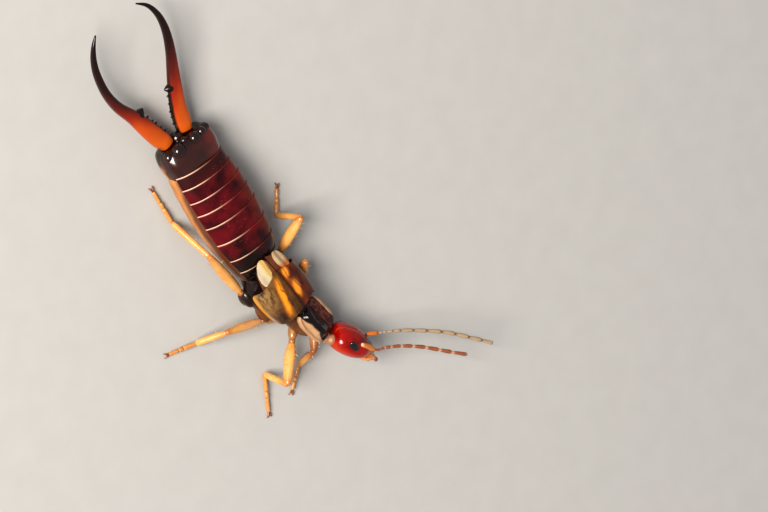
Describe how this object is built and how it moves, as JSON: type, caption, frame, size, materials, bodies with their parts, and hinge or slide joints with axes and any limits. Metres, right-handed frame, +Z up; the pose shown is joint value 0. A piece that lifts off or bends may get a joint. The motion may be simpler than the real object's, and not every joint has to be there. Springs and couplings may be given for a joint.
{
  "type": "earwig model",
  "caption": "Still, life-size earwig standing on its feet, with curved toothed forceps, short wing cases, folded wing tips and long feelers.",
  "frame": {"origin": "on the floor, under the middle of the bounding box", "axes": "+Z up, head and feelers towards -Y, forceps towards +Y, the animal's left side towards +X"},
  "size_m": [0.0146, 0.0258, 0.0027],
  "materials": {
    "abdomen": "polished shell, oxblood brown",
    "last_segment": "highly polished shell, mahogany black",
    "forceps": "polished horn, amber to black",
    "thorax": "satin shell, brown",
    "wing_case": "satin shell, translucent brown",
    "wing": "papery membrane, cream",
    "shield": "polished shell, black brown with tan rims",
    "neck": "soft skin, cream",
    "head": "polished shell, blood red",
    "eye": "polished, black",
    "jaws": "satin shell, orange brown",
    "feeler": "fine hairy surface, tan",
    "leg": "satin shell, straw amber"
  },
  "bodies": {
    "root": {"abdomen": "abdomen", "last_segment": "last_segment", "forceps_right": "forceps", "forceps_left": "forceps", "thorax": "thorax", "prothorax": "thorax", "wing_case_left": "wing_case", "wing_case_right": "wing_case", "wing_left": "wing", "wing_right": "wing", "shield": "shield", "neck": "neck", "head": "head", "eye_left": "eye", "eye_right": "eye", "jaws": "jaws", "feeler_left": "feeler", "feeler_right": "feeler", "front_left_thigh": "leg", "front_left_shin": "leg", "front_left_foot": "leg", "front_right_thigh": "leg", "front_right_shin": "leg", "front_right_foot": "leg", "middle_left_thigh": "leg", "middle_left_shin": "leg", "middle_left_foot": "leg", "middle_right_thigh": "leg", "middle_right_shin": "leg", "middle_right_foot": "leg", "hind_left_thigh": "leg", "hind_left_shin": "leg", "hind_left_foot": "leg", "hind_right_thigh": "leg", "hind_right_shin": "leg", "hind_right_foot": "leg"}
  },
  "joints": []
}
